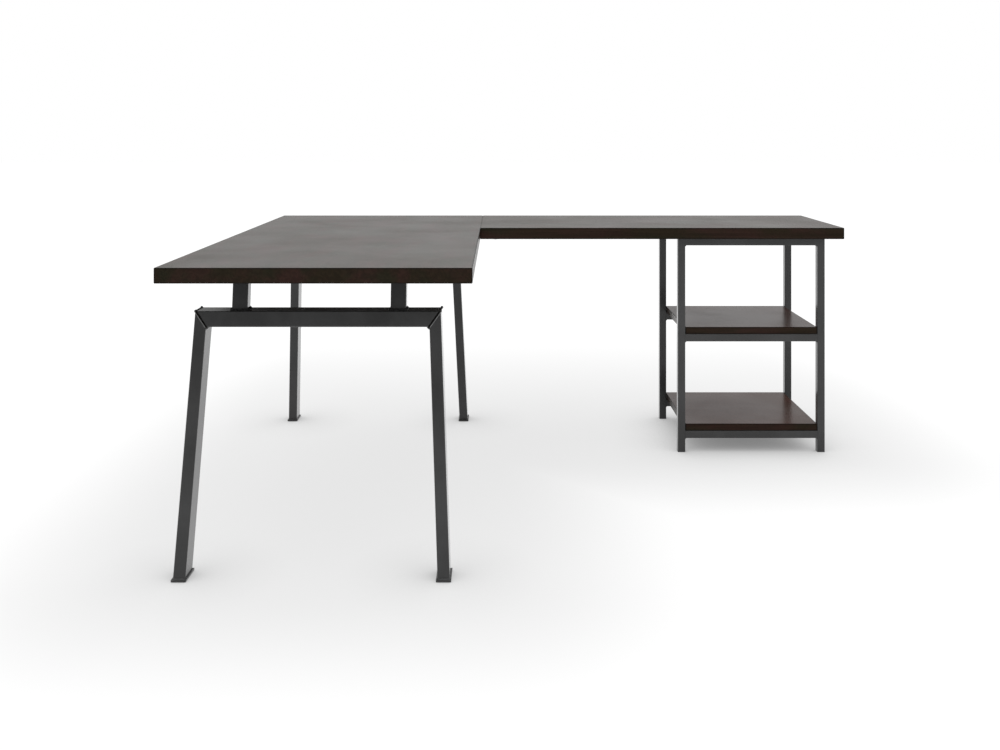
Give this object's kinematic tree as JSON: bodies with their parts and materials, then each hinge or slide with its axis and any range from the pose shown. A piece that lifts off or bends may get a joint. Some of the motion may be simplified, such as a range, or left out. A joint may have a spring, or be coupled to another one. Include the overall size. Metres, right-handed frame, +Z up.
{
  "type": "corner desk",
  "caption": "L-shaped corner desk: long wooden top on leaning splayed steel end frames, shorter return top on an open shelf unit.",
  "frame": {"origin": "on the floor, in the middle of the overall footprint", "axes": "+Z up; +X along the overall width, from the long edge of the main top towards the free end of the return; -Y is the free front end of the main top and +Y the rear, where the two tops have flush edges"},
  "size_m": [1.981, 1.524, 0.762],
  "materials": {
    "wood": "dark espresso-stained hardwood slab, satin lacquer, faint grain",
    "frame_paint": "matte charcoal-black powder coat with a fine texture",
    "zinc_steel": "bright zinc-plated steel screws",
    "black_steel": "black-oxide steel joining plates",
    "insert_brass": "plain turned brass",
    "black_plastic": "black moulded plastic",
    "pad_rubber": "black rubber pads"
  },
  "bodies": {
    "root": {"front_foot_pads": "pad_rubber", "front_foot_plate_left": "frame_paint", "front_foot_plate_right": "frame_paint", "front_frame_screws": "zinc_steel", "front_leg_left": "frame_paint", "front_leg_right": "frame_paint", "front_rail": "frame_paint", "front_stub_left": "frame_paint", "front_stub_plate_left": "frame_paint", "front_stub_plate_right": "frame_paint", "front_stub_right": "frame_paint", "joining_plate_front": "black_steel", "joining_plate_rear": "black_steel", "joining_plate_screws": "zinc_steel", "lower_shelf": "wood", "lower_shelf_screws": "zinc_steel", "main_top": "wood", "main_top_inserts": "insert_brass", "rear_foot_pads": "pad_rubber", "rear_foot_plate_left": "frame_paint", "rear_foot_plate_right": "frame_paint", "rear_frame_screws": "zinc_steel", "rear_leg_left": "frame_paint", "rear_leg_right": "frame_paint", "rear_rail": "frame_paint", "rear_stub_left": "frame_paint", "rear_stub_plate_left": "frame_paint", "rear_stub_plate_right": "frame_paint", "rear_stub_right": "frame_paint", "return_top": "wood", "return_top_inserts": "insert_brass", "unit_front_lower_rail": "frame_paint", "unit_front_post_left": "frame_paint", "unit_front_post_right": "frame_paint", "unit_front_top_rail": "frame_paint", "unit_front_top_screws": "zinc_steel", "unit_front_upper_rail": "frame_paint", "unit_post_plugs": "black_plastic", "unit_rear_lower_rail": "frame_paint", "unit_rear_post_left": "frame_paint", "unit_rear_post_right": "frame_paint", "unit_rear_top_rail": "frame_paint", "unit_rear_top_screws": "zinc_steel", "unit_rear_upper_rail": "frame_paint", "upper_shelf": "wood", "upper_shelf_screws": "zinc_steel"}
  },
  "joints": []
}
